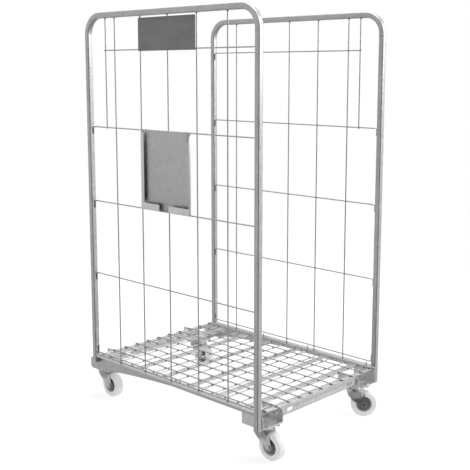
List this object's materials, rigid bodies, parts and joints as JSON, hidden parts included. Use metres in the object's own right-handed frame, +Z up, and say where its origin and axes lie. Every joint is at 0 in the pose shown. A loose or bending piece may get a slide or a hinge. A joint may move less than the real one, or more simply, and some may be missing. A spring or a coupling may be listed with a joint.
{
  "type": "roll cage container",
  "caption": "Two-sided wheeled roll cage with tubular wire-infill side panels, a hinged wire deck, a sign plate, a hanging document holder and swivel casters.",
  "frame": {"origin": "floor level below the middle of the whole container, rear brackets and parked front wheels included", "axes": "+Z up, open front towards -Y, side panel with the sign and the document holder towards -X"},
  "size_m": [0.72, 1.0505, 1.6],
  "materials": {
    "tube_zinc": "bright zinc-plated square tube, fine drawn grain",
    "wire_zinc": "zinc-plated round wire",
    "sheet_zinc": "zinc-plated folded sheet, satin, faint mottling",
    "caster_zinc": "pressed sheet, bright zinc",
    "bright_zinc": "bright zinc fasteners and balls",
    "holder": "thin zinc-plated sheet tray",
    "sign": "plain dark grey sheet, satin",
    "nylon": "moulded white nylon, satin",
    "bush": "steel spacer bush"
  },
  "bodies": {
    "cage": {"left_side_frame": "tube_zinc", "right_side_frame": "tube_zinc", "left_upright_wires": "wire_zinc", "left_cross_wires": "wire_zinc", "right_upright_wires": "wire_zinc", "right_cross_wires": "wire_zinc", "sign_plate": "sign", "left_side_rail": "sheet_zinc", "right_side_rail": "sheet_zinc", "front_cross_member": "sheet_zinc", "rear_cross_member": "sheet_zinc", "front_left_bracket": "sheet_zinc", "front_right_bracket": "sheet_zinc", "rear_left_bracket": "sheet_zinc", "rear_right_bracket": "sheet_zinc", "rear_post_feet": "sheet_zinc", "deck_rests": "sheet_zinc", "hinge_rod": "bright_zinc", "hinge_lugs": "sheet_zinc", "mounting_bolts": "bright_zinc", "mounting_nuts": "bright_zinc", "caster_kingpins": "bright_zinc", "front_left_plate": "caster_zinc", "front_right_plate": "caster_zinc", "rear_left_plate": "caster_zinc", "rear_right_plate": "caster_zinc"},
    "deck": {"deck_long_wires": "wire_zinc", "deck_short_wires": "wire_zinc", "deck_strips": "sheet_zinc", "deck_hinge_eyes": "wire_zinc", "deck_hooks": "wire_zinc"},
    "document_holder": {"document_holder": "holder"},
    "front_left_swivel": {"front_left_fork": "caster_zinc", "front_left_balls": "bright_zinc", "front_left_axle_bolt": "bright_zinc", "front_left_axle_nut": "bright_zinc", "front_left_bush": "bush"},
    "front_left_roller": {"front_left_wheel": "nylon"},
    "front_right_swivel": {"front_right_fork": "caster_zinc", "front_right_balls": "bright_zinc", "front_right_axle_bolt": "bright_zinc", "front_right_axle_nut": "bright_zinc", "front_right_bush": "bush"},
    "front_right_roller": {"front_right_wheel": "nylon"},
    "rear_left_swivel": {"rear_left_fork": "caster_zinc", "rear_left_balls": "bright_zinc", "rear_left_axle_bolt": "bright_zinc", "rear_left_axle_nut": "bright_zinc", "rear_left_bush": "bush"},
    "rear_left_roller": {"rear_left_wheel": "nylon"},
    "rear_right_swivel": {"rear_right_fork": "caster_zinc", "rear_right_balls": "bright_zinc", "rear_right_axle_bolt": "bright_zinc", "rear_right_axle_nut": "bright_zinc", "rear_right_bush": "bush"},
    "rear_right_roller": {"rear_right_wheel": "nylon"}
  },
  "joints": [
    {"name": "deck_fold", "type": "hinge", "parent": "cage", "child": "deck", "pos_m": [-0.326, -0.01475, 0.1925], "axis": [0, -1, 0], "range_deg": [0, 88]},
    {"name": "holder_lift", "type": "slide", "parent": "cage", "child": "document_holder", "axis": [0, 0, 1], "range_m": [0, 0.05]},
    {"name": "front_left_swivel", "type": "hinge", "parent": "cage", "child": "front_left_swivel", "pos_m": [-0.27, -0.43475, 0.115], "axis": [0, 0, 1], "continuous": true},
    {"name": "front_left_roll", "type": "hinge", "parent": "front_left_swivel", "child": "front_left_roller", "pos_m": [-0.27, -0.47275, 0.0525], "axis": [1, 0, 0], "continuous": true},
    {"name": "front_right_swivel", "type": "hinge", "parent": "cage", "child": "front_right_swivel", "pos_m": [0.27, -0.43475, 0.115], "axis": [0, 0, 1], "continuous": true},
    {"name": "front_right_roll", "type": "hinge", "parent": "front_right_swivel", "child": "front_right_roller", "pos_m": [0.29592, -0.46254, 0.0525], "axis": [0.7314, 0.682, 0], "continuous": true},
    {"name": "rear_left_swivel", "type": "hinge", "parent": "cage", "child": "rear_left_swivel", "pos_m": [-0.27, 0.47525, 0.115], "axis": [0, 0, 1], "continuous": true},
    {"name": "rear_left_roll", "type": "hinge", "parent": "rear_left_swivel", "child": "rear_left_roller", "pos_m": [-0.27, 0.43725, 0.0525], "axis": [1, 0, 0], "continuous": true},
    {"name": "rear_right_swivel", "type": "hinge", "parent": "cage", "child": "rear_right_swivel", "pos_m": [0.27, 0.47525, 0.115], "axis": [0, 0, 1], "continuous": true},
    {"name": "rear_right_roll", "type": "hinge", "parent": "rear_right_swivel", "child": "rear_right_roller", "pos_m": [0.27, 0.43725, 0.0525], "axis": [1, 0, 0], "continuous": true}
  ]
}
